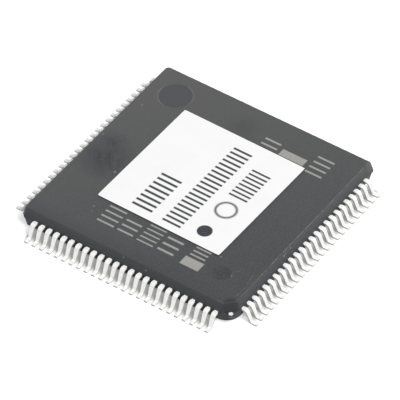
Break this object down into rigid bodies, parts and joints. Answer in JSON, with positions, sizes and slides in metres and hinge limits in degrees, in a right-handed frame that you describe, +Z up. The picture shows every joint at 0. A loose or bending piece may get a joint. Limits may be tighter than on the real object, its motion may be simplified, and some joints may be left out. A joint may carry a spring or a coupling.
{
  "type": "quad flat pack microprocessor",
  "caption": "Square surface-mount microprocessor in a dark epoxy moulding, with fine gull-wing leads along all four sides and a paper label on its top face.",
  "frame": {"origin": "centre of the seating plane under the lead feet", "axes": "+Z up from the board, +X along the row of pins 1 to 25 from pin 1 to pin 25, +Y from that row towards the row of pins 51 to 75"},
  "size_m": [0.016, 0.016, 0.0015],
  "materials": {
    "epoxy_moulding": "fine spark-eroded matt mould finish, dark grey",
    "plated_leads": "satin tin plate over a copper alloy strip",
    "copper_alloy": "rolled copper alloy",
    "die_glue": "silver-filled die glue",
    "silicon": "polished silicon",
    "label_paper": "coated white label paper"
  },
  "bodies": {
    "root": {"mould_body": "epoxy_moulding", "leads_pins_1_to_25": "plated_leads", "leads_pins_26_to_50": "plated_leads", "leads_pins_51_to_75": "plated_leads", "leads_pins_76_to_100": "plated_leads", "die_paddle": "copper_alloy", "die_attach": "die_glue", "silicon_die": "silicon", "label": "label_paper"}
  },
  "joints": []
}
